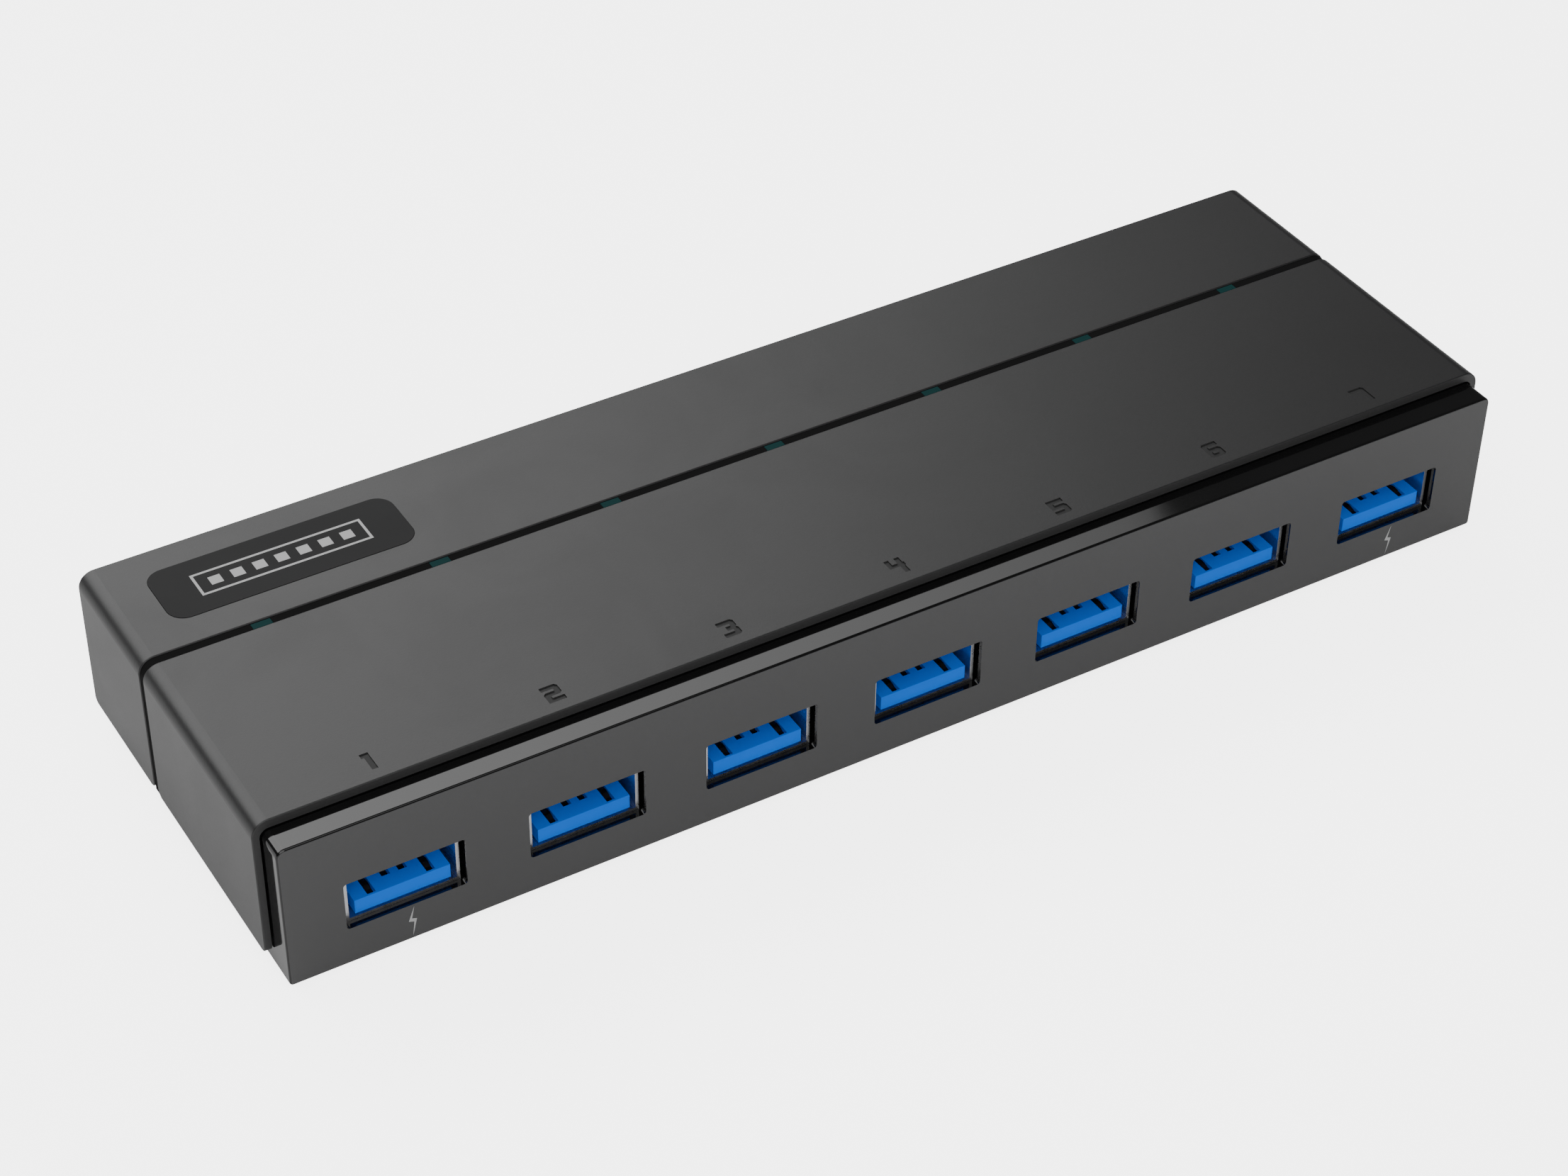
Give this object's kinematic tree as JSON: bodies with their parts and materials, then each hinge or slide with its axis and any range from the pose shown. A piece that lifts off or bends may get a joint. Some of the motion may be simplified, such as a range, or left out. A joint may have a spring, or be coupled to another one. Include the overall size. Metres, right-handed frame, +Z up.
{
  "type": "usb hub",
  "caption": "Long low desktop USB hub: a row of front USB-A sockets, two sleeve covers over a dark inner case, status windows in the groove between them, rear power and upstream inlets.",
  "frame": {"origin": "middle of the footprint, on the plane the rubber feet stand on", "axes": "+X along the row of sockets from port 1 to port 7, +Y from the port face to the back, +Z up"},
  "size_m": [0.1618, 0.0516, 0.0216],
  "materials": {
    "bezel_plastic": "satin",
    "case_plastic": "gloss",
    "cover_plastic": "fine matte",
    "badge_plastic": "satin",
    "band_plastic": "matte",
    "plated_steel": "bright plated",
    "blue_insulator": "satin",
    "contact_alloy": "plated",
    "window_plastic": "translucent",
    "led_body": "clear",
    "board_laminate": "solder mask",
    "chip_plastic": "moulded",
    "component_dark": "moulded",
    "component_can": "satin",
    "jack_plastic": "moulded",
    "screw_steel": "plated",
    "foot_rubber": "matte"
  },
  "bodies": {
    "root": {"badge_plate": "badge_plastic", "base_tray": "case_plastic", "board_screws": "screw_steel", "case_screws": "screw_steel", "chip_capacitors": "component_dark", "circuit_board": "board_laminate", "crystals": "component_can", "dc_jack": "jack_plastic", "dc_jack_pin": "contact_alloy", "front_bezel": "bezel_plastic", "groove_band": "band_plastic", "hub_controller_1": "chip_plastic", "hub_controller_2": "chip_plastic", "inner_chassis": "case_plastic", "light_window_1": "window_plastic", "light_window_2": "window_plastic", "light_window_3": "window_plastic", "light_window_4": "window_plastic", "light_window_5": "window_plastic", "light_window_6": "window_plastic", "light_window_7": "window_plastic", "main_cover": "cover_plastic", "port_capacitors": "component_can", "port_fuses": "component_dark", "power_inductors": "component_dark", "rear_cover": "cover_plastic", "rear_panel": "case_plastic", "rubber_feet": "foot_rubber", "status_leds": "led_body", "usb_b_contacts": "contact_alloy", "usb_b_insulator": "blue_insulator", "usb_b_shell": "plated_steel", "usb_b_tongue": "blue_insulator", "usb_block_1": "blue_insulator", "usb_block_2": "blue_insulator", "usb_block_3": "blue_insulator", "usb_block_4": "blue_insulator", "usb_block_5": "blue_insulator", "usb_block_6": "blue_insulator", "usb_block_7": "blue_insulator", "usb_contacts": "contact_alloy", "usb_shell_1": "plated_steel", "usb_shell_2": "plated_steel", "usb_shell_3": "plated_steel", "usb_shell_4": "plated_steel", "usb_shell_5": "plated_steel", "usb_shell_6": "plated_steel", "usb_shell_7": "plated_steel", "usb_tongue_1": "blue_insulator", "usb_tongue_2": "blue_insulator", "usb_tongue_3": "blue_insulator", "usb_tongue_4": "blue_insulator", "usb_tongue_5": "blue_insulator", "usb_tongue_6": "blue_insulator", "usb_tongue_7": "blue_insulator"}
  },
  "joints": []
}
